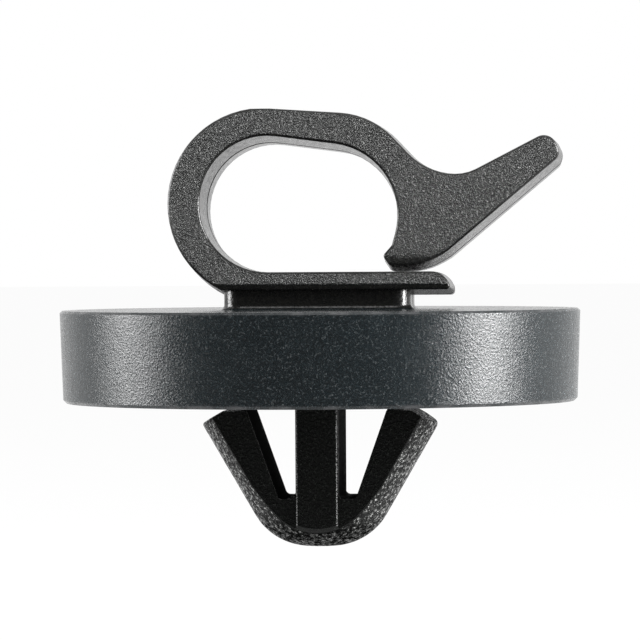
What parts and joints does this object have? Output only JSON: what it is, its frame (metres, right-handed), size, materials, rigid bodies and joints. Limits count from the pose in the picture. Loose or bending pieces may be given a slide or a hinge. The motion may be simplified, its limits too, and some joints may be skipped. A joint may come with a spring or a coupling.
{
  "type": "c-type cable clip",
  "caption": "One-piece plastic snap-in cable clip: a C-shaped loop with a lift lever on a round cup, and an arrowhead anchor that snaps into a round panel hole.",
  "frame": {"origin": "centre of the cup's rim, on the surface of the panel that the clip is pushed into", "axes": "+Z out of the panel, from the anchor towards the loop; +X across the loop towards its lever; +Y along the held cable"},
  "size_m": [0.02, 0.02, 0.0167],
  "materials": {
    "black_nylon": "black moulded nylon, matt with a fine spark-eroded grain, glossier on the anchor's cone"
  },
  "bodies": {
    "root": {"cable_clip": "black_nylon"}
  },
  "joints": []
}
